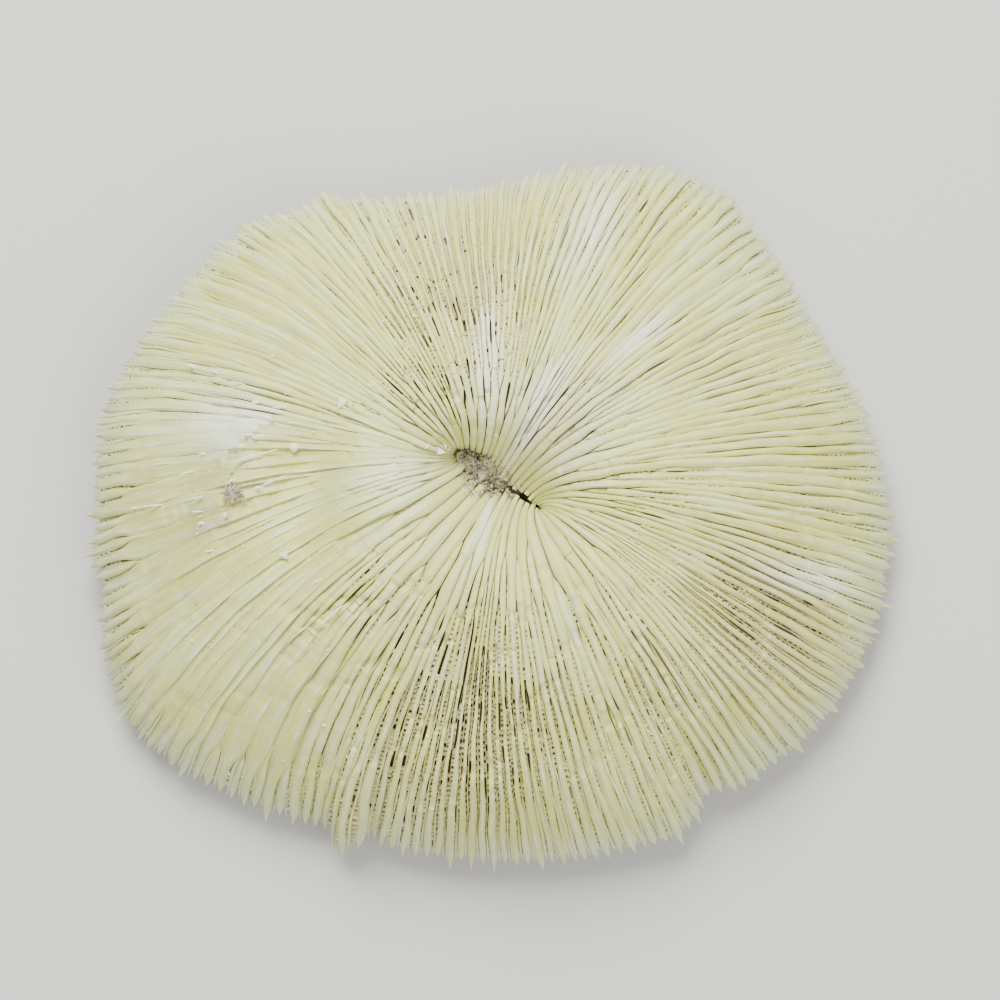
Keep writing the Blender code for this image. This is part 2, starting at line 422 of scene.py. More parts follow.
def hashed(key):
    """A number from -1 to 1 that looks random but is always the same for one key."""
    part = np.sin(np.asarray(key, float) * 12.9898 + 4.1) * 43758.5453
    return 2.0 * (part - np.floor(part)) - 1.0


def start_shift(index):
    """How much further out than usual the new septa begin between two septa of the first order, as a share."""
    turn = np.radians((8.0 * np.floor(index / 8.0) + 4.0) * SEPTUM_STEP)
    return 0.05 * np.sin(17.0 * turn + 1.0) + 0.04 * np.sin(43.0 * turn)


def fill_room(group, step, share, room, gap, sheet):
    """Place and half width of a septum in the room between two septa of the first 96.

    The widths of the five septa at and between the two, and the gaps beside them, fill the room.
    """
    beyond = share - start_shift(group)
    begun = {order: smooth_step(start + 0.02, start + 0.09, beyond) for order, start in ORDER_STARTS.items()}
    begun[4] = np.ones_like(begun[4])
    thinned = smooth_step(0.0, 0.55, sheet)
    hidden = 0.15 + 0.8 * (hashed(group + 2.0) > -0.3)
    narrow = {4: 1.0, 5: 1.0, 6: 1.0 - hidden * thinned, 7: 1.0 - 0.98 * thinned}
    weight = []
    for number in range(5):
        member = (group + number) % SEPTA
        order = order_of(member)
        own = np.zeros(np.broadcast(member, share).shape)
        for rank in ORDER_WEIGHTS:
            own = np.where(order == rank, ORDER_WEIGHTS[rank] * begun[rank] * narrow[rank], own)
        jitter = 1.0 + 0.22 * hashed(member) + 0.30 * wander(share, member, 1.0)
        weight.append(own * jitter)
    gaps = 0.5 + 0.5 * begun[5] + begun[6] + 2.0 * begun[7] * (1.0 - thinned)
    filled = weight[0] / 2.0 + weight[1] + weight[2] + weight[3] + weight[4] / 2.0
    unit = np.maximum(room - gaps * gap, 0.35 * room) / filled
    width = [unit * own for own in weight]
    middle = (width[0] / 2.0 + room - width[4] / 2.0) / 2.0
    inner = (width[0] / 2.0 + middle - width[2] / 2.0) / 2.0
    outer = (middle + width[2] / 2.0 + room - width[4] / 2.0) / 2.0
    inner_half = np.minimum(width[1], np.maximum(middle - width[2] / 2.0 - width[0] / 2.0 - gap, 0.0)) / 2.0
    outer_half = np.minimum(width[3], np.maximum(room - width[4] / 2.0 - middle - width[2] / 2.0 - gap, 0.0)) / 2.0
    places = [0.0 * room, inner, middle, outer, room]
    halves = [width[0] / 2.0, inner_half, width[2] / 2.0, outer_half, width[4] / 2.0]
    steps = [step == number for number in range(5)]
    return np.select(steps, places), np.select(steps, halves)


def lay_out(index, share):
    """Where septa stand: middle line, directions along and across, half width to each side and setting.

    The widths and gaps of four neighbours always fill the room between two septa of the first 96.
    """
    degrees = index * SEPTUM_STEP
    degrees = degrees + wander(share, np.sin(np.radians(degrees * 3.0)), 0.32)
    x, y = septum_line(degrees, share)
    next_x, next_y = septum_line(degrees + 0.4, share)
    last_x, last_y = septum_line(degrees - 0.4, share)
    out_x, out_y = septum_line(degrees, share + 0.004)
    in_x, in_y = septum_line(degrees, share - 0.004)
    length = np.hypot(out_x - in_x, out_y - in_y)
    along_x = (out_x - in_x) / length
    along_y = (out_y - in_y) / length
    side_x = -along_y
    side_y = along_x
    per_degree = ((next_x - last_x) * side_x + (next_y - last_y) * side_y) / 0.8
    pitch = np.maximum(per_degree * SEPTUM_STEP, 0.02)

    opening = within(OPEN_ZONES, x, y)
    lean = np.clip(zones(SHEET_ZONES, x, y), -1.0, 1.0)
    lean = lean * smooth_step(0.12, 0.3, share) * (1.0 - 0.9 * smooth_step(0.86, 0.97, share))
    sheet = np.abs(lean) * (1.0 - 0.7 * opening)
    gap = (0.17 * opening + 0.03) * (1.0 - 0.7 * sheet) * np.clip(pitch / 0.3, 0.3, 1.0) - 0.07 * sheet

    room = 4.0 * pitch
    here = 4.0 * np.floor(index / 4.0)
    place, half = fill_room(here, index - here, share, room, gap, sheet)
    _, half_before = fill_room(here - 4.0, np.full_like(index, 4.0), share, room, gap, sheet)
    border = (index - here == 0.0) & np.ones(share.shape, bool)
    offset = np.where(border, 0.0, place - (index - here) * pitch)
    high_half = np.maximum(half, 0.03)
    return SimpleNamespace(
        degrees=degrees,
        x=x + side_x * offset,
        y=y + side_y * offset,
        along_x=along_x,
        along_y=along_y,
        side_x=side_x,
        side_y=side_y,
        high_half=high_half,
        low_half=np.where(border, np.maximum(half_before, 0.03), high_half),
        opening=opening,
        lean=lean * (1.0 - 0.7 * opening),
        sheet=sheet * (1.0 - 0.7 * opening),
        crest=crest_height(x, y, degrees, share),
    )


def rim_teeth():
    """How far each septum stands out at the rim, in mm: uneven peaks that a few septa share."""
    chance = np.random.default_rng(43)
    members = np.arange(SEPTA)
    lobes = np.zeros(SEPTA)
    peak = 0.0
    while peak < SEPTA - 2.0:
        height = chance.uniform(0.4, 1.0) if chance.uniform() < 0.65 else chance.uniform(1.2, 2.1)
        reach = chance.uniform(1.2, 2.8)
        lobes = np.maximum(lobes, height * (1.0 - np.abs(members - peak) / reach))
        peak += chance.uniform(2.5, 7.0)
    return lobes


RIM_TEETH = rim_teeth()


def spiky_share(degrees):
    """How far the septa end in single spikes instead of lobes, which they do in the south."""
    return np.exp(-(((degrees - 268.0) / 50.0) ** 4))


def gap_key(index, share, side):
    """Middle between a septum and its next neighbour on one side, counted like the septa."""
    starts = [ORDER_STARTS[order] + 0.04 for order in (5, 6, 7)]
    step = np.select([share < starts[0], share < starts[1], share < starts[2]], [8.0, 4.0, 2.0], 1.0)
    return (index + side * step / 2.0) % SEPTA


def make_pits():
    """Places where the bars are missing and a gap stands wide open: gap, share and half length."""
    chance = np.random.default_rng(7)
    pits = []
    while len(pits) < PIT_COUNT:
        share = chance.uniform(0.08, 0.92)
        line = float(chance.integers(SEPTA))
        step = 8.0 if share < 0.17 else 4.0 if share < 0.31 else 2.0 if share < 0.51 else 1.0
        line = step * math.floor(line / step)
        x, y = septum_line((line + step / 2.0) * SEPTUM_STEP, share)
        if chance.uniform() < float(within(OPEN_ZONES, x, y)) ** 2:
            pits.append((float(gap_key(line, share, 1.0)), share, chance.uniform(0.012, 0.04)))
    return pits


PITS = make_pits()


def pit_depth(key, share):
    """How far a place in a gap lies within a pit."""
    total = np.zeros(np.broadcast(key, share).shape)
    for pit_key, pit_share, half_length in PITS:
        near = (np.abs(key - pit_key) < 0.3) & (np.abs(share - pit_share) < 2.0 * half_length)
        if near.any():
            total[near] += np.exp(-(((share[near] - pit_share) / half_length) ** 4))
    return saturate(total)


def widening(key, share, opening):
    """How much each septum beside a gap draws back from it, in mm."""
    slow = wander(share * 1.7, key * 3.3, 1.0) + 0.35 * hashed(key)
    return 0.035 * opening * smooth_step(-0.1, 0.55, slow) + 0.05 * pit_depth(key, share)


def read_mesh(source):
    """The corners and faces of a small mesh, as arrays that can be repeated."""
    mesh = source.data
    corners = np.empty(len(mesh.vertices) * 3, np.float32)
    mesh.vertices.foreach_get("co", corners)
    vertex = np.empty(len(mesh.loops), np.int32)
    mesh.loops.foreach_get("vertex_index", vertex)
    start = np.empty(len(mesh.polygons), np.int32)
    mesh.polygons.foreach_get("loop_start", start)
    return corners.reshape(-1, 3).astype(float), vertex, start


def write_surface(mesh, vertex, values, grain):
    """Stores what a material reads: numbers at each corner, and the run of the grain as a UV map."""
    for key, numbers in values.items():
        layer = mesh.attributes.new(key, "FLOAT", "POINT")
        layer.data.foreach_set("value", np.asarray(numbers).astype(np.float32).ravel())
    if grain is not None:
        layer = mesh.uv_layers[0] if mesh.uv_layers else mesh.uv_layers.new()
        layer.name = "grain"
        layer.uv.foreach_set("vector", grain.reshape(-1, 2)[vertex].astype(np.float32).ravel())


def even_values(shape, worn):
    """Surface values of clean small parts."""
    values = {key: np.zeros(shape) for key in ("gap_depth", "opening", "rim", "stain_and_shade")}
    values["worn"] = worn
    return values


def repeat_mesh(name, source, places, values, grain=None):
    """Joins moved copies of a small mesh into one piece. Places has one row of corners for each copy, in mm."""
    corners, vertex, start = read_mesh(source)
    copies = len(places)
    vertex = (vertex[None, :] + (np.arange(copies) * len(corners))[:, None]).ravel()
    start = (start[None, :] + (np.arange(copies) * len(source.data.loops))[:, None]).ravel()
    mesh = bpy.data.meshes.new(name)
    mesh.vertices.add(copies * len(corners))
    mesh.vertices.foreach_set("co", (np.asarray(places) * MM).astype(np.float32).ravel())
    mesh.loops.add(len(vertex))
    mesh.loops.foreach_set("vertex_index", vertex.astype(np.int32))
    mesh.polygons.add(len(start))
    mesh.polygons.foreach_set("loop_start", start.astype(np.int32))
    mesh.update(calc_edges=True)
    write_surface(mesh, vertex, values, grain)
    piece = bpy.data.objects.new(name, mesh)
    bpy.context.scene.collection.objects.link(piece)
    return piece


def remove_master(source):
    mesh = source.data
    bpy.data.objects.remove(source, do_unlink=True)
    bpy.data.meshes.remove(mesh)


def finish_piece(piece, material, angle=50.0):
    """Smooths a piece, gives it its material and puts it in the frame."""
    piece.data.materials.append(material)
    deselect_all()
    piece.select_set(True)
    bpy.context.view_layer.objects.active = piece
    bpy.ops.object.shade_smooth_by_angle(angle=math.radians(angle))
    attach(piece, "root")
    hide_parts("corallum")
    piece.select_set(False)


def linear(code):
    """An sRGB hex colour as linear numbers."""
    numbers = [int(code[place : place + 2], 16) / 255.0 for place in (1, 3, 5)]
    return [n / 12.92 if n <= 0.04045 else ((n + 0.055) / 1.055) ** 2.4 for n in numbers] + [1.0]


def output_of(source):
    """The socket that a link starts from. A node stands for its first output."""
    return source.outputs[0] if isinstance(source, bpy.types.Node) else source


def add_node(tree, kind, settings=None, links=None):
    """Adds a node, sets its fields and input values, and links other nodes or their outputs to its inputs."""
    node = tree.nodes.new(kind)
    for key, value in (settings or {}).items():
        if isinstance(key, int) or key in node.inputs:
            node.inputs[key].default_value = value
        else:
            setattr(node, key, value)
    for key, source in (links or {}).items():
        tree.links.new(output_of(source), node.inputs[key])
    return node


def mix_colours(tree, factor, first, second):
    """The output of a node that goes from one colour to another. The first is a colour or an output."""
    mix = add_node(tree, "ShaderNodeMix", {"data_type": "RGBA", 7: second}, {0: factor})
    if isinstance(first, bpy.types.NodeSocket):
        tree.links.new(first, mix.inputs[6])
    else:
        mix.inputs[6].default_value = first
    return mix.outputs[2]


def new_material(name):
    material = bpy.data.materials.new(name)
    material.use_nodes = True
    tree = material.node_tree
    tree.nodes.clear()
    shader = add_node(tree, "ShaderNodeBsdfPrincipled")
    add_node(tree, "ShaderNodeOutputMaterial", links={"Surface": shader})
    return material, tree, shader


def bleached_aragonite(tints):
    """Aragonite of the septa: a limestone grown in fine fibres, sun bleached, with old silt left in the gaps.

    It gives the eye a dry, waxy pale green cream, bluer where the blades are thin at the rim, with a fine
    grain along each blade, chalky white where it is worn, with chalk white also painted in patches along the
    crest tops, partly wear and partly a painted highlight, and ochre to brown down in the gaps, where the
    darkening with depth is partly silt and partly painted shade.
    """
    material, tree, shader = new_material("bleached_aragonite")
    depth, opening, rim, stain_and_shade, edge, worn = (
        add_node(tree, "ShaderNodeAttribute", {"attribute_name": name}).outputs["Fac"]
        for name in ("gap_depth", "opening", "rim", "stain_and_shade", "edge", "worn")
    )
    place = add_node(tree, "ShaderNodeTexCoord").outputs["Object"]
    grain_map = add_node(tree, "ShaderNodeUVMap", {"uv_map": "grain"})

    # Clouds of paler and yellower limestone, 12 mm across, and streaks some 20 mm long on each blade.
    clouds = add_node(tree, "ShaderNodeTexNoise", {"Scale": 80.0, "Detail": 3.0}, {"Vector": place})
    stretch = add_node(tree, "ShaderNodeMapping", {"Scale": (0.05, 0.45, 1.0)}, {"Vector": grain_map})
    streaks = add_node(tree, "ShaderNodeTexNoise", {"Scale": 1.0, "Detail": 2.0}, {"Vector": stretch})
    both = add_node(tree, "ShaderNodeMath", {"operation": "MULTIPLY_ADD", 1: 1.5}, {0: streaks, 2: clouds})
    cloud = add_node(tree, "ShaderNodeMapRange", {"From Min": 0.95, "From Max": 1.5}, {"Value": both})
    base = mix_colours(tree, cloud, tints.limestone, tints.yellow_limestone)
    base = mix_colours(tree, rim, base, tints.thin_rim)

    # The grain runs along each blade: streaks 0.6 mm wide and some 7 mm long, with finer ones in them.
    stretch = add_node(tree, "ShaderNodeMapping", {"Scale": (0.15, 1.6, 1.0)}, {"Vector": grain_map})
    grain = add_node(tree, "ShaderNodeTexNoise", {"Scale": 1.0, "Detail": 3.0}, {"Vector": stretch})
    fibres = {"From Min": 0.35, "From Max": 0.64, "To Min": 0.0, "To Max": 0.7}
    grain_share = add_node(tree, "ShaderNodeMapRange", fibres, {"Value": grain})
    base = mix_colours(tree, grain_share, base, tints.grain)

    # Worn places are chalk white, broken up by grit and pores of 0.3 mm. Along the crest tops chalk white is painted
    # in patches too, partly wear and partly a painted highlight.
    grit = add_node(tree, "ShaderNodeTexNoise", {"Scale": 3300.0, "Detail": 2.0}, {"Vector": place})
    chalk = add_node(tree, "ShaderNodeMath", {"operation": "MULTIPLY_ADD", 1: 1.6, 2: 0.20}, {0: grit})
    product = {"operation": "MULTIPLY", "use_clamp": True}
    base = mix_colours(tree, add_node(tree, "ShaderNodeMath", product, {0: worn, 1: chalk}), base, tints.chalk)
    # Painted highlight and wear on the crest tops: the edge value is highest along each crest line.
    crest_chalk_and_highlight_range = {"From Min": 0.48, "From Max": 0.62, "To Min": 0.05, "To Max": 0.7}
    crest_chalk_and_highlight_share = add_node(tree, "ShaderNodeMapRange", crest_chalk_and_highlight_range, {"Value": grain})
    base = mix_colours(tree, add_node(tree, "ShaderNodeMath", product, {0: edge, 1: crest_chalk_and_highlight_share}), base, tints.chalk)

    # Silt and painted shade tint the flanks, more where the gaps are open or stained, and the bottom of a gap is
    # painted dark:
    # the colour darkens with depth below the crest, partly silt and partly painted shade.
    silt_and_shade_base = add_node(tree, "ShaderNodeMath", {"operation": "MULTIPLY_ADD", 1: 0.5, 2: 0.40}, {0: opening})
    staining = {"operation": "MULTIPLY_ADD", 1: 0.6, "use_clamp": True}
    silt_and_shade_amount = add_node(tree, "ShaderNodeMath", staining, {0: stain_and_shade, 2: silt_and_shade_base})
    for low, high, colour in ((0.02, 0.22, tints.silt), (0.35, 1.0, tints.dark_silt)):
        fade = {"From Min": low, "From Max": high, "interpolation_type": "SMOOTHSTEP"}
        deep = add_node(tree, "ShaderNodeMapRange", fade, {"Value": depth})
        silt_and_shade_share = add_node(tree, "ShaderNodeMath", {"operation": "MULTIPLY"}, {0: deep, 1: silt_and_shade_amount})
        base = mix_colours(tree, silt_and_shade_share, base, colour)
    stain_and_shade_share = add_node(tree, "ShaderNodeMath", {"operation": "MULTIPLY", 1: 0.30}, {0: stain_and_shade})
    tree.links.new(mix_colours(tree, stain_and_shade_share, base, tints.stain_and_shade), shader.inputs["Base Color"])

    shader.inputs["Roughness"].default_value = 0.55
    shader.inputs["IOR"].default_value = 1.6
    shader.inputs["Specular IOR Level"].default_value = 0.35
    shader.inputs["Subsurface Weight"].default_value = 0.15
    shader.inputs["Subsurface Radius"].default_value = (1.0, 1.0, 0.7)
    shader.inputs["Subsurface Scale"].default_value = 0.0005

    bump = add_node(tree, "ShaderNodeBump", {"Strength": 0.8, "Distance": 0.0003}, {"Height": grain})
    fine = {"Strength": 0.5, "Distance": 0.00015}
    fine_bump = add_node(tree, "ShaderNodeBump", fine, {"Height": grit, "Normal": bump})
    tree.links.new(fine_bump.outputs[0], shader.inputs["Normal"])
    return material


def cut_edges(blade, picks, cuts):
    """Cuts up the edges that a rule picks by their two ends."""
    for edge in blade.data.edges:
        first, second = (blade.data.vertices[index].co for index in edge.vertices)
        edge.select = picks(first, second)
    bpy.ops.object.mode_set(mode="EDIT")
    bpy.ops.mesh.subdivide(number_cuts=cuts)
    bpy.ops.mesh.select_all(action="DESELECT")
    bpy.ops.object.mode_set(mode="OBJECT")


def blade_master(half_stations, top_cuts):
    """A straight blade, 2 long and 2 wide, cut along the top into strips and then across into stations."""
    deselect_all()
    bpy.ops.mesh.primitive_cube_add(size=2.0, location=(0.0, 0.0, 0.0))
    blade = bpy.context.active_object
    bpy.ops.object.mode_set(mode="EDIT")
    bpy.ops.mesh.select_mode(type="EDGE")
    bpy.ops.mesh.select_all(action="DESELECT")
    bpy.ops.object.mode_set(mode="OBJECT")
    cut_edges(blade, lambda first, second: min(first.z, second.z) > 0.5 and abs(first.y - second.y) > 1.0, top_cuts)
    for cuts in (1, half_stations - 1):
        cut_edges(blade, lambda first, second: abs(first.x - second.x) > 0.5, cuts)
    return blade


def shape_blades(order):
    """Bends one straight blade into every septum of an order."""
    name, first, step, half_stations, top_cuts, seed = ORDER_BLADES[order]
    stations = 2 * half_stations + 1
    master = blade_master(half_stations, top_cuts)
    corners, _, _ = read_mesh(master)
    station = np.rint((corners[:, 0] + 1.0) / 2.0 * (stations - 1)).astype(int)
    across = corners[:, 1]
    top = corners[:, 2] > 0.0

    # Where each blade begins and ends. Those of the first orders run down into the fossa, less far in the east.
    chance = np.random.default_rng(seed)
    index = np.arange(first, SEPTA, step)[:, None].astype(float)
    count = len(index)
    degrees = index * SEPTUM_STEP
    if order == 4:
        inner_x = septum_line(degrees, 0.0)[0] - FOSSA_CENTRE[0]
        east = smooth_step(-1.5, 0.5, inner_x)
        middle = np.exp(-(((inner_x + 2.4) / 2.6) ** 2))
        shift = chance.uniform(-0.020, 0.012, (count, 1)) * (1.0 - 0.6 * east) - 0.014 * east + 0.024 * middle
    else:
        shift = start_shift(index)
    starts = ORDER_STARTS[order] + shift
    spiky = spiky_share(degrees)
    spikes = ORDER_TEETH[order] * chance.uniform(0.3, 1.5, (count, 1))
    lobes = 0.75 * RIM_TEETH[index.astype(int)] + 0.45 * spikes
    teeth = lobes + (spikes - lobes) * spiky
    ends = 1.0 + teeth / MEAN_REACH
    way = np.linspace(0.0, 1.0, stations)
    share = starts + (ends - starts) * way
    state = lay_out(index, share)
    sheet = state.sheet

    # Each blade rises out of the wall where it begins and narrows to a tooth at the rim.
    rise = 0.75 + 0.25 * smooth_step(0.0, 0.03, way) if order == 4 else smooth_step(0.0, 0.06, way)
    taper = 0.016 + 0.014 * teeth + 0.008 * teeth * spiky
    tip = saturate((ends - share) / taper)
    narrowed = (0.25 + 0.75 * rise) * (0.05 + 0.95 * tip**0.85)
    low_pit = widening(gap_key(index, share, -1.0), share, state.opening)
    high_pit = widening(gap_key(index, share, 1.0), share, state.opening)
    under = 0.30 * np.clip(2.0 * state.lean, -1.0, 1.0) * (order < 7)
    low_side = np.maximum(state.low_half - low_pit + saturate(under), 0.4 * state.low_half) * narrowed
    high_side = np.maximum(state.high_half - high_pit + saturate(-under), 0.4 * state.high_half) * narrowed

    # The crest is beaded, waves a little, is chipped in places and sinks where the blade lies under a sheet.
    beads = chance.uniform(0.0, 1.0, share.shape) * (np.arange(stations) % 2)
    bead_size = 0.10 + 0.08 * state.opening + 0.25 * smooth_step(0.93, 1.0, share)
    level = chance.uniform(-0.27, 0.27, (count, 1)) + wander(share, index * 1.7, 0.3)
    buried = (order == 7) | ((order == 6) & (hashed(index) > -0.3))
    sunk = ORDER_DROPS[order] * (1.0 + 2.5 * smooth_step(0.35, 0.8, sheet) * buried)
    ragged = 0.5 + 0.5 * wander(share * 9.0, index * 3.1, 1.0) + chance.uniform(-0.2, 0.2, share.shape)
    chipped = 0.5 * smooth_step(0.45, 0.6, wander(share * 2.6, index * 5.1, 1.0)) * (0.3 + 0.7 * state.opening)
    chipped = chipped + 0.7 * within(CHIP_ZONES, state.x, state.y) * ragged
    crest = state.crest - sunk + level * (1.0 - 0.5 * sheet) - beads * bead_size - (1.0 - rise) * 2.2 - chipped
    base = floor_height(state.crest, state.x, state.y, state.degrees, share) - 0.4
    base = np.maximum(base, under_height(state.degrees, share) + 0.15)
    crest = np.maximum(crest, base + 0.4)
    crest = base + 0.35 + (crest - base - 0.35) * (0.15 + 0.85 * tip)

    # Every corner of the straight blade goes to its place: first across, where the crest leans, then up.
    crest = crest[:, station]
    base = base[:, station]
    lean = (np.clip(state.lean * 1.1, -0.8, 0.8) * rise)[:, station]
    side = np.where(top, lean + across * (1.0 - lean * np.sign(across)), across)
    reach = np.where(side > 0.0, high_side[:, station], low_side[:, station])
    lateral = side * reach
    flank = np.where(side > lean, 1.0 - lean, 1.0 + lean)
    from_crest = np.abs(side - lean) / flank
    flat = np.minimum(0.07 + 0.32 * reach * flank, 0.7) * from_crest**2.2
    fall = flat + (0.26 * from_crest - flat) * smooth_step(0.2, 0.7, sheet)[:, station]
    x = state.x[:, station] + state.side_x[:, station] * lateral
    y = state.y[:, station] + state.side_y[:, station] * lateral
    ledge = ledge_height(x, y)
    z = np.where(top, np.maximum(crest - fall, base + 0.1) + ledge, base)

    steps = np.hypot(np.diff(state.x), np.diff(state.y))
    run = np.concatenate((np.zeros((count, 1)), np.cumsum(steps, 1)), 1)[:, station]
    grain = np.stack((run + 17.3 * index, lateral + 0.6 * (crest - z) + 5.7 * index), 2)
    thin = smooth_step(0.89, 1.0, share + 0.03 * wander(share, index * 0.37, 1.0)) * (0.7 + 0.3 * hashed(index * 0.7))
    values = {
        # Depth below the crest: the material paints the flanks and gap bottoms darker with it, partly silt and partly
        # painted shade.
        "gap_depth": saturate((crest - z) / 2.6),
        "opening": (state.opening - 0.4 * sheet)[:, station],
        "rim": thin[:, station],
        "stain_and_shade": within(STAIN_AND_SHADE_ZONES, x, y),
        "worn": saturate(zones(WORN_ZONES, x, y) + 0.45 * ledge),
        # Highest along the crest line: the material paints it chalk white in patches, partly wear and partly a
        # painted highlight.
        "edge": np.where(top, 1.0 - from_crest, 0.0) ** 2 * rise[station],
    }
    piece = repeat_mesh(name, master, np.stack((x, y, z), 2), values, grain)
    remove_master(master)
    finish_piece(piece, get_material(bleached_aragonite))


def length_property(name, description, default):
    return bpy.props.FloatProperty(name=name, description=description, default=default, unit="LENGTH")


def colour_property(name, description, code):
    return bpy.props.FloatVectorProperty(
        name=name, description=description, default=linear(code), size=4, min=0.0, max=1.0, subtype="COLOR"
    )


class CoralSizes(bpy.types.PropertyGroup):
    bar_length: length_property("Bar spacing", "Distance between the bars that join two septa", 0.0007)
    spine_height: length_property("Spine height", "Height of the spines on the underside, at the rim", 0.0011)
    camera_height: length_property("Camera height", "Height of the camera above the ground", 0.42)


class CoralColours(bpy.types.PropertyGroup):
    limestone: colour_property("Limestone", "Bleached limestone of the septa", "#E8EFA4")
    yellow_limestone: colour_property("Yellow limestone", "Yellower clouds in the limestone", "#DAD86A")
    grain: colour_property("Grain", "Fibres along each blade", "#B8BA68")
    thin_rim: colour_property("Thin rim", "Thin blades at the rim", "#D9E8BE")
    # Chalk paints worn places, and in patches a painted highlight along the crest tops.
    chalk: colour_property("Chalk", "Rubbed crests", "#F6F9E4")
    # Silt and dark silt paint the blades darker with depth below the crest: partly silt and partly painted shade.
    silt: colour_property("Silt", "Old silt on the flanks", "#B3A587")
    dark_silt: colour_property("Dark silt", "Silt at the bottom of the gaps", "#6F5C42")
    dust: colour_property("Dust", "Grey dust on the spongy middle", "#968B75")
    pale_dust: colour_property("Pale dust", "Paler grains on the spongy middle", "#C1B79E")
    # The stain colour also paints the dim hollow beside the ledge, as painted shade.
    stain_and_shade: colour_property("Stain", "Tan stain that has soaked into the stone", "#B9A06A")


def sizes():
    return bpy.context.scene.coral_sizes


def get_material(build):
    """The material that a function of the same name builds from the colours of the scene, built only once."""
    return bpy.data.materials.get(build.__name__) or build(bpy.context.scene.coral_colours)


class CORAL_OT_wall(bpy.types.Operator):
    """Wall of the disc: the ground between the septa, the thin rim and the ribbed underside"""

    bl_idname = "coral.wall"
    bl_label = "Wall and Underside"

    def execute(self, context):
        deselect_all()
        bpy.ops.mesh.primitive_uv_sphere_add(segments=768, ring_count=66, radius=1.0, location=(0.0, 0.0, 0.0))
        wall = context.active_object
        wall.name = "corallum_wall"
        wall.data.name = "corallum_wall"
        corners, vertex, _ = read_mesh(wall)
        latitude = np.arcsin(np.clip(corners[:, 2], -1.0, 1.0)) / math.pi * 2.0
        degrees = np.degrees(np.arctan2(corners[:, 1], corners[:, 0]))
        upper = latitude >= 0.0

        # The upper half goes onto the ground between the septa, with its pole in the fossa.
        share = (1.0 - saturate(latitude)) * 1.01 - 0.025
        top_x, top_y = septum_line(degrees, share)
        crest = crest_height(top_x, top_y, degrees, share)
        top_z = floor_height(crest, top_x, top_y, degrees, share)
        pole = latitude > 0.999
        top_x = np.where(pole, FOSSA_CENTRE[0], top_x)
        top_y = np.where(pole, FOSSA_CENTRE[1], top_y)

        # The lower half goes onto the ribbed underside, and its last tenth onto the scar.
        inward = saturate(-latitude)
        out = saturate(inward / 0.9)
        centre = saturate((inward - 0.9) / 0.1)
        low_x, low_y = under_place(degrees, out)
        ribs = 0.5 - 0.5 * np.cos(np.radians(degrees) * RIBS)
        rib_depth = (0.65 - 0.35 * out) * (1.0 - centre) * smooth_step(0.0, 0.05, inward)
        low_z = around(RIM_LIFTS, degrees) * between(UNDER_STATIONS, out) + ribs * rib_depth
        low_z = low_z + 0.15 * smooth_step(0.0, 0.5, centre) * (1.0 - smooth_step(0.5, 1.0, centre))
        x = np.where(upper, top_x, low_x * (1.0 - centre))
        y = np.where(upper, top_y, low_y * (1.0 - centre))
        places = np.stack((x, y, np.where(upper, top_z, low_z)), 1) * MM
        wall.data.vertices.foreach_set("co", places.astype(np.float32).ravel())
        values = {
            # The ground between the septa gets full depth and the grooves between the ribs more depth, so the
            # material paints them darker: partly silt and partly painted shade.
            "gap_depth": np.where(upper, 1.0, 0.03 + 0.35 * ribs * (1.0 - centre)),
            "opening": np.where(upper, np.clip(1.7 * zones(OPEN_ZONES, x, y), 0.0, 1.3), 0.7),
            "rim": smooth_step(0.86, 1.0, np.where(upper, share, 1.0 - out)),
            "stain_and_shade": np.where(upper, within(STAIN_AND_SHADE_ZONES, x, y), 0.1),
            "worn": 0.5 * centre * ~upper,
        }
        write_surface(wall.data, vertex, values, np.stack((np.hypot(x, y), np.radians(degrees) * 40.0), 1))
        wall.data.update()
        finish_piece(wall, get_material(bleached_aragonite), 60.0)
        return {"FINISHED"}


class CORAL_OT_spines(bpy.types.Operator):
    """Spines in rows on the ribs of the underside"""

    bl_idname = "coral.spines"
    bl_label = "Underside Spines"

    def execute(self, context):
        chance = np.random.default_rng(19)
        deselect_all()
        bpy.ops.mesh.primitive_cone_add(vertices=5, radius1=1.0, radius2=0.25, depth=1.0, location=(0.0, 0.0, 0.5))
        spine = context.active_object
        bpy.ops.object.transform_apply(location=True, rotation=False, scale=False)
        corners, _, _ = read_mesh(spine)
        height = sizes().spine_height / MM
        places = []
        for rib in range(RIBS):
            for number in range(16 if rib % 2 == 0 else 10):
                inward = (number + chance.uniform(0.1, 0.9)) / SPINE_ROWS
                if chance.uniform() < 0.12:
                    continue
                degrees = (rib + 0.06 * chance.uniform(-1.0, 1.0)) * 360.0 / RIBS
                x, y = under_place(degrees, inward)
                lift = float(around(RIM_LIFTS, degrees)) * float(between(UNDER_STATIONS, inward))
                size = chance.uniform(0.5, 1.0) * (1.0 - 0.65 * inward)
                tall = min(height * size, 0.85 * lift)
                wide = 0.22 * size + 0.12
                leaning = corners[:, 2] * 0.35 * tall / np.hypot(x, y)
                points = np.empty_like(corners)
                points[:, 0] = x + corners[:, 0] * wide + leaning * x
                points[:, 1] = y + corners[:, 1] * wide + leaning * y
                points[:, 2] = lift + 0.25 - corners[:, 2] * (tall + 0.25)
                places.append(points)
        places = np.array(places)
        shape = places.shape[:2]
        values = even_values(shape, np.broadcast_to(0.5 * corners[:, 2], shape))
        piece = repeat_mesh("underside_spines", spine, places, values, places[:, :, :2])
        remove_master(spine)
        piece.data.flip_normals()
        finish_piece(piece, get_material(bleached_aragonite), 70.0)
        return {"FINISHED"}


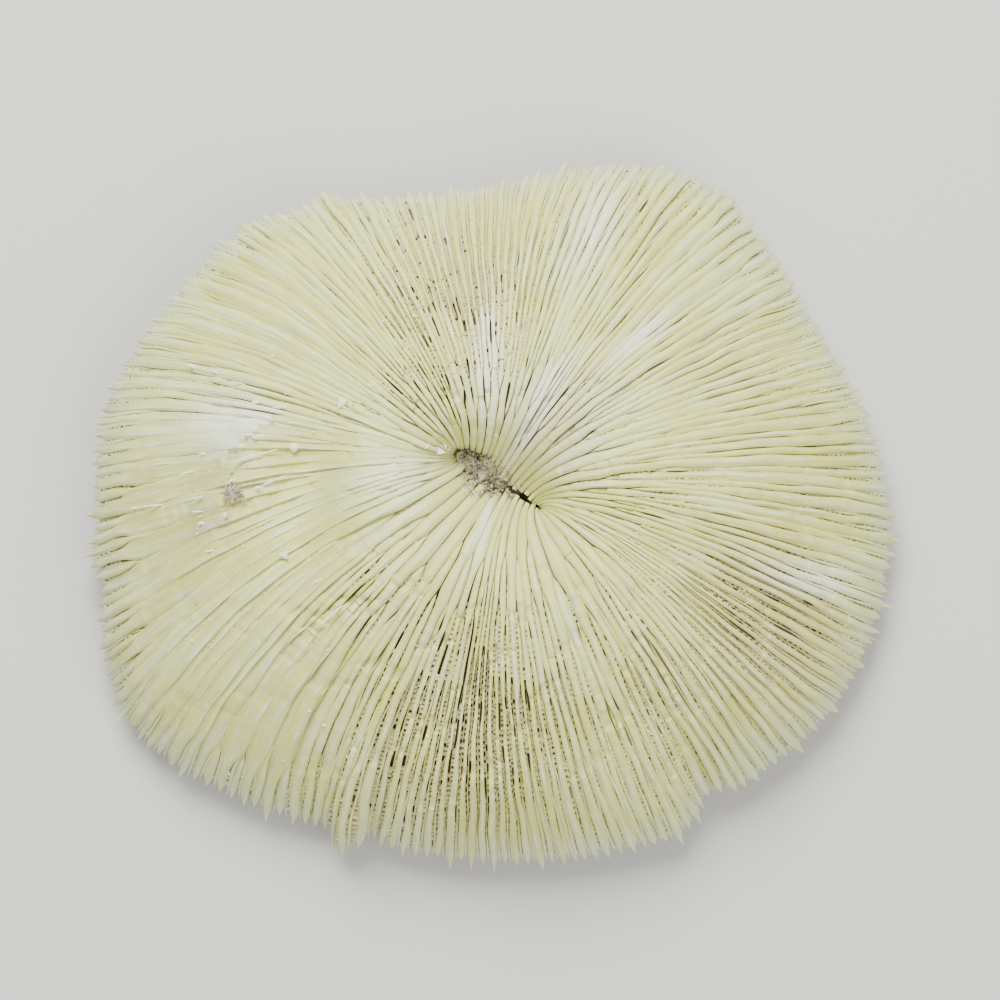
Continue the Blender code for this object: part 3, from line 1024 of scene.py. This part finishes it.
class CORAL_OT_main_septa(bpy.types.Operator):
    """The 96 thick septa: 48 that reach the fossa and the 48 of the fifth order"""

    bl_idname = "coral.main_septa"
    bl_label = "Main Septa"

    def execute(self, context):
        for order in (4, 5):
            shape_blades(order)
        return {"FINISHED"}


class CORAL_OT_minor_septa(bpy.types.Operator):
    """The thinner septa that begin between the main ones"""

    bl_idname = "coral.minor_septa"
    bl_label = "Minor Septa"

    def execute(self, context):
        for order in (6, 7):
            shape_blades(order)
        return {"FINISHED"}


class CORAL_OT_bars(bpy.types.Operator):
    """The small bars that join neighbouring septa like the rungs of a ladder"""

    bl_idname = "coral.bars"
    bl_label = "Bars between Septa"

    def execute(self, context):
        chance = np.random.default_rng(23)
        spacing = sizes().bar_length / MM
        rows = []
        for step, low, high in BAR_ROWS:
            count = SEPTA // step
            number = int((high - low) * BAR_REACH / spacing)
            share = low + (high - low) * (np.arange(number)[None, :] + chance.uniform(0.0, 1.0, (count, 1))) / number
            share = share + chance.uniform(-0.25, 0.25, share.shape) * (high - low) / number
            index = np.repeat((np.arange(count) * step)[:, None], number, 1).astype(float)
            share = share + start_shift(index + step / 2.0) * (1.0 - smooth_step(0.53, 0.95, share))
            rows.append(np.stack((index.ravel(), (index + step).ravel(), share.ravel())))
        left, right, share = np.concatenate(rows, 1)
        first = lay_out(left, share)
        second = lay_out(right, share)
        span = np.hypot(second.x - first.x, second.y - first.y)
        key = ((left + right) / 2.0) % SEPTA
        drawn_back = widening(key, share, first.opening)
        clear = span - first.high_half - second.low_half + 2.0 * drawn_back
        chips = within(CHIP_ZONES, first.x, first.y)
        keep = (pit_depth(key, share) < 0.35) & (clear > 0.05) & (first.sheet < 0.4) & (chips < 0.25)
        keep &= chance.uniform(0.0, 1.0, len(share)) < 0.4 + 0.54 * smooth_step(0.15, 0.4, share)
        offset = first.high_half + clear / 2.0 - drawn_back
        bars = SimpleNamespace(
            share=share,
            both=left + right,
            opening=first.opening,
            middle_x=first.x + (second.x - first.x) / span * offset,
            middle_y=first.y + (second.y - first.y) / span * offset,
            along_x=first.along_x,
            along_y=first.along_y,
            side_x=first.side_x,
            side_y=first.side_y,
            crest=first.crest,
            clear=clear,
            lower=np.maximum(drop_of(left), drop_of(right)),
        )
        self.lay_bars("synapticula_bars_inner", bars, np.flatnonzero(keep & (share < BAR_SPLIT)))
        self.lay_bars("synapticula_bars_outer", bars, np.flatnonzero(keep & (share >= BAR_SPLIT)))
        return {"FINISHED"}

    def lay_bars(self, name, bars, picked):
        """Lays the picked bars, each of which reaches a little way into the septa on both sides."""
        chance = np.random.default_rng(29)
        deselect_all()
        bpy.ops.mesh.primitive_cube_add(size=2.0, location=(0.0, 0.0, 0.0))
        bar = bpy.context.active_object
        corners, _, _ = read_mesh(bar)
        bars.below = bars.lower + chance.uniform(0.28, 0.5, len(bars.share))
        bars.below = bars.below + 0.8 * (1.0 - smooth_step(0.15, 0.35, bars.share))
        some = SimpleNamespace(**{key: numbers[picked, None] for key, numbers in vars(bars).items()})
        half_run = chance.uniform(0.13, 0.25, len(picked))[:, None]
        half_span = some.clear / 2.0 + 0.08
        upper = corners[:, 2] > 0.0

        # A bar widens downwards until it meets the next one, so that a shallow pore is left between two bars.
        filled = wander(some.share * 2.1, some.both * 2.35, 1.0) < -0.25
        half_run = np.where(upper & ~filled, half_run, 0.42)
        x = some.middle_x + some.along_x * corners[:, 0] * half_run + some.side_x * corners[:, 1] * half_span
        y = some.middle_y + some.along_y * corners[:, 0] * half_run + some.side_y * corners[:, 1] * half_span
        z = some.crest - some.below + (corners[:, 2] - 1.0) * 0.25
        values = {
            # The lower half of each bar gets more depth, so it is painted darker: partly silt and partly painted
            # shade.
            "gap_depth": np.broadcast_to(np.where(upper, 0.10, 0.52), z.shape),
            "opening": np.broadcast_to(some.opening, z.shape),
            "rim": np.broadcast_to(smooth_step(0.9, 1.0, some.share), z.shape),
            "stain_and_shade": within(STAIN_AND_SHADE_ZONES, x, y),
            "worn": np.zeros(z.shape),
        }
        piece = repeat_mesh(name, bar, np.stack((x, y, z), 2), values, np.stack((x, y), 2))
        remove_master(bar)
        finish_piece(piece, get_material(bleached_aragonite), 60.0)


def dusty_aragonite(tints):
    """Spongy aragonite of the fossa: the same limestone, grown as rough grains, grey with dust, with its pores
    painted dark, partly dust and partly painted shade.
    """
    material, tree, shader = new_material("dusty_aragonite")
    place = add_node(tree, "ShaderNodeTexCoord").outputs["Object"]
    patches = add_node(tree, "ShaderNodeTexNoise", {"Scale": 900.0, "Detail": 3.0}, {"Vector": place})
    patch = add_node(tree, "ShaderNodeMapRange", {"From Min": 0.38, "From Max": 0.62}, {"Value": patches})
    base = mix_colours(tree, patch, tints.dust, tints.pale_dust)
    grit = add_node(tree, "ShaderNodeTexNoise", {"Scale": 3300.0, "Detail": 2.0}, {"Vector": place})
    # Small spots are painted dark for the pores: partly dust and partly painted shade.
    pores = add_node(tree, "ShaderNodeMapRange", {"From Min": 0.55, "From Max": 0.7}, {"Value": grit})
    base = mix_colours(tree, pores, base, tints.dark_silt)
    tree.links.new(base, shader.inputs["Base Color"])
    shader.inputs["Roughness"].default_value = 0.8
    shader.inputs["IOR"].default_value = 1.6
    shader.inputs["Specular IOR Level"].default_value = 0.2
    bump = add_node(tree, "ShaderNodeBump", {"Strength": 0.6, "Distance": 0.0002}, {"Height": grit})
    tree.links.new(bump.outputs[0], shader.inputs["Normal"])
    return material


def pale_floor():
    """Matt painted board: plain, pale and even, so nothing on it draws the eye."""
    material, _, shader = new_material("matt_painted_board")
    shader.inputs["Base Color"].default_value = linear("#CFCDC8")
    shader.inputs["Roughness"].default_value = 0.8
    return material


def rough_grain():
    """A rough grain about 2 across: an icosahedron drawn out of shape."""
    deselect_all()
    bpy.ops.mesh.primitive_ico_sphere_add(subdivisions=1, radius=1.0, location=(0.0, 0.0, 0.0))
    bpy.ops.object.mode_set(mode="EDIT")
    bpy.ops.mesh.select_all(action="SELECT")
    bpy.ops.transform.vertex_random(offset=0.35, uniform=0.6, normal=0.2, seed=5)
    bpy.ops.object.mode_set(mode="OBJECT")
    return bpy.context.active_object


def turned(corners, chance):
    """The corners of a grain, turned and stretched at random."""
    angles = chance.uniform(0.0, 2.0 * math.pi, 3)
    stretch = chance.uniform(0.6, 1.4, 3)
    points = corners * stretch
    for (first, second), angle in zip(((0, 1), (1, 2), (0, 2)), angles):
        points[:, first], points[:, second] = turn_plan(points[:, first], points[:, second], angle)
    return points


class CORAL_OT_columella(bpy.types.Operator):
    """The spongy middle of the fossa: rough grains that the inner ends of the septa run into"""

    bl_idname = "coral.columella"
    bl_label = "Columella"

    def execute(self, context):
        chance = np.random.default_rng(31)
        grain = rough_grain()
        corners, _, _ = read_mesh(grain)
        core, body, fringe = 140, 1010, 350
        places = []
        for number in range(core + body + fringe):
            along = chance.uniform(-6.9, 3.2)
            half_width = 0.6 + 2.5 * math.exp(-(((along + 2.5) / 3.1) ** 2))
            half_width *= 1.0 + 0.22 * math.sin(along * 2.9) + 0.14 * math.sin(along * 6.1 + 1.0)
            across = half_width * chance.uniform(-1.0, 1.0)
            mound = 21.9 - 3.2 * smooth_step(-2.5, 3.0, along) + 0.45 * math.sin(along * 2.3 + 1.7 * across)
            mound -= 1.5 * (across / half_width) ** 2 + 0.7 * chance.uniform(0.0, 1.0)
            if number < core:
                size = chance.uniform(0.7, 1.0)
                z = mound - 0.9 - chance.uniform(0.0, 0.3)
            elif number < core + body:
                size = chance.uniform(0.09, 0.27)
                z = mound + chance.uniform(-0.35, 0.3)
            else:
                # Fine grains have run out between the inner ends of the septa.
                size = chance.uniform(0.08, 0.2)
                away = half_width - 0.4 + chance.exponential(0.45)
                across = math.copysign(away, across)
                share = max(away - FOSSA_HALF_WIDTH, 0.0) / MEAN_REACH
                z = float(between(CREST_STATIONS, share)) - chance.uniform(-0.1, 0.5)
            x, y = turn_plan(along, across, math.radians(FOSSA_TURN))
            middle = np.array((FOSSA_CENTRE[0] + x, FOSSA_CENTRE[1] + y, z))
            places.append(turned(corners, chance) * size + middle)
        piece = repeat_mesh("columella", grain, np.array(places), {})
        remove_master(grain)
        finish_piece(piece, get_material(dusty_aragonite), 30.0)
        return {"FINISHED"}


class CORAL_OT_crumbs(bpy.types.Operator):
    """Loose crumbs and chips of the skeleton that lie on the septa"""

    bl_idname = "coral.crumbs"
    bl_label = "Crumbs and Chips"

    def execute(self, context):
        chance = np.random.default_rng(37)
        degrees, share = np.meshgrid(np.arange(0.0, 360.0, 0.5), np.linspace(0.02, 0.98, 160))
        ground_x, ground_y = septum_line(degrees, share)
        ground = (ground_x, ground_y, crest_height(ground_x, ground_y, degrees, share))
        grain = rough_grain()
        corners, _, _ = read_mesh(grain)
        loose = list(CRUMBS)
        for _ in range(70):
            x, y = septum_line(chance.uniform(120.0, 250.0), chance.uniform(0.3, 0.92))
            size = chance.uniform(0.08, 0.2)
            loose.append((float(x), float(y), size * 1.5, size, chance.uniform(0.0, 180.0), 1.0))
        dusty = []
        for _ in range(110):
            away = chance.normal(0.0, 0.7, 2)
            size = chance.uniform(0.14, 0.4)
            dusty.append((-37.0 + away[0], 3.0 + away[1] * 1.3, size, size * 0.6, chance.uniform(0.0, 180.0), 0.3))
        for name, group, material in (
            ("crumbs", loose, get_material(bleached_aragonite)),
            ("crumb_cluster", dusty, get_material(dusty_aragonite)),
        ):
            places, worn = self.lay_crumbs(group, corners, chance, ground)
            piece = repeat_mesh(name, grain, places, even_values(worn.shape, worn), places[:, :, :2])
            finish_piece(piece, material, 30.0)
        remove_master(grain)
        return {"FINISHED"}

    def lay_crumbs(self, crumbs, corners, chance, ground):
        """Lays each crumb on the crests nearest to its place."""
        ground_x, ground_y, ground_z = ground
        places = []
        worn = []
        for x, y, half_length, half_width, direction, white in crumbs:
            nearest = np.argmin((ground_x - x) ** 2 + (ground_y - y) ** 2)
            z = ground_z.flat[nearest] + 0.25 * half_width
            points = turned(corners, chance) * 0.9
            points = points * np.array((half_length, half_width, half_width * 0.8))
            flat_x, flat_y = turn_plan(points[:, 0], points[:, 1], math.radians(direction))
            places.append(np.stack((x + flat_x, y + flat_y, z + points[:, 2]), 1))
            worn.append(np.full(len(corners), white))
        return np.array(places), np.array(worn)


class CORAL_OT_stage(bpy.types.Operator):
    """Pale floor, soft lights and the camera straight above"""

    bl_idname = "coral.stage"
    bl_label = "Floor, Lights and Camera"

    def execute(self, context):
        deselect_all()
        bpy.ops.mesh.primitive_plane_add(size=3.0, location=(0.0, 0.0, 0.0))
        floor = context.active_object
        floor.name = "floor"
        floor.data.materials.append(pale_floor())

        lights = (
            ("soft_key", (-0.12, 0.50, 0.62), 0.45, 12.6),
            ("soft_fill", (0.45, -0.45, 0.70), 0.80, 6.2),
        )
        for name, place, size, power in lights:
            data = bpy.data.lights.new(name, "AREA")
            data.shape = "DISK"
            data.size = size
            data.energy = power
            data.color = (1.0, 1.0, 0.985)
            light = bpy.data.objects.new(name, data)
            context.scene.collection.objects.link(light)
            light.location = place
            light.rotation_euler = (-light.location).to_track_quat("-Z", "Y").to_euler()

        world = bpy.data.worlds.new("studio_air")
        world.use_nodes = True
        background = world.node_tree.nodes["Background"]
        background.inputs["Color"].default_value = linear("#EDEFF2")
        background.inputs["Strength"].default_value = 0.60
        context.scene.world = world

        # The camera looks straight down on the disc.
        height = sizes().camera_height
        data = bpy.data.cameras.new("camera")
        data.sensor_width = SENSOR_WIDTH
        data.lens = SENSOR_WIDTH * (height - RIM_HEIGHT) / VIEW_WIDTH
        data.clip_start = 0.01
        data.clip_end = 10.0
        camera = bpy.data.objects.new("camera", data)
        context.scene.collection.objects.link(camera)
        camera.location = (*VIEW_MIDDLE, height)
        camera.rotation_euler = (0.0, 0.0, 0.0)
        context.scene.camera = camera
        return {"FINISHED"}


class CORAL_PT_panel(bpy.types.Panel):
    bl_label = "Mushroom Coral"
    bl_idname = "CORAL_PT_panel"
    bl_space_type = "VIEW_3D"
    bl_region_type = "UI"
    bl_category = "Mushroom Coral"

    def draw(self, context):
        layout = self.layout
        for group in (context.scene.coral_sizes, context.scene.coral_colours):
            box = layout.box()
            for name in group.__annotations__:
                box.prop(group, name)
        for operator in OPERATORS:
            layout.operator(operator.bl_idname)


OPERATORS = (
    CORAL_OT_wall,
    CORAL_OT_spines,
    CORAL_OT_main_septa,
    CORAL_OT_minor_septa,
    CORAL_OT_bars,
    CORAL_OT_columella,
    CORAL_OT_crumbs,
    CORAL_OT_stage,
)
CLASSES = (CoralSizes, CoralColours) + OPERATORS + (CORAL_PT_panel,)


def register():
    for item in CLASSES:
        bpy.utils.register_class(item)
    bpy.types.Scene.coral_sizes = bpy.props.PointerProperty(type=CoralSizes)
    bpy.types.Scene.coral_colours = bpy.props.PointerProperty(type=CoralColours)


def unregister():
    del bpy.types.Scene.coral_colours
    del bpy.types.Scene.coral_sizes
    for item in reversed(CLASSES):
        bpy.utils.unregister_class(item)


def main():
    register()
    bpy.ops.coral.wall()
    bpy.ops.coral.spines()
    bpy.ops.coral.main_septa()
    bpy.ops.coral.minor_septa()
    bpy.ops.coral.bars()
    bpy.ops.coral.columella()
    bpy.ops.coral.crumbs()
    bpy.ops.coral.stage()


if __name__ == "__main__":
    main()
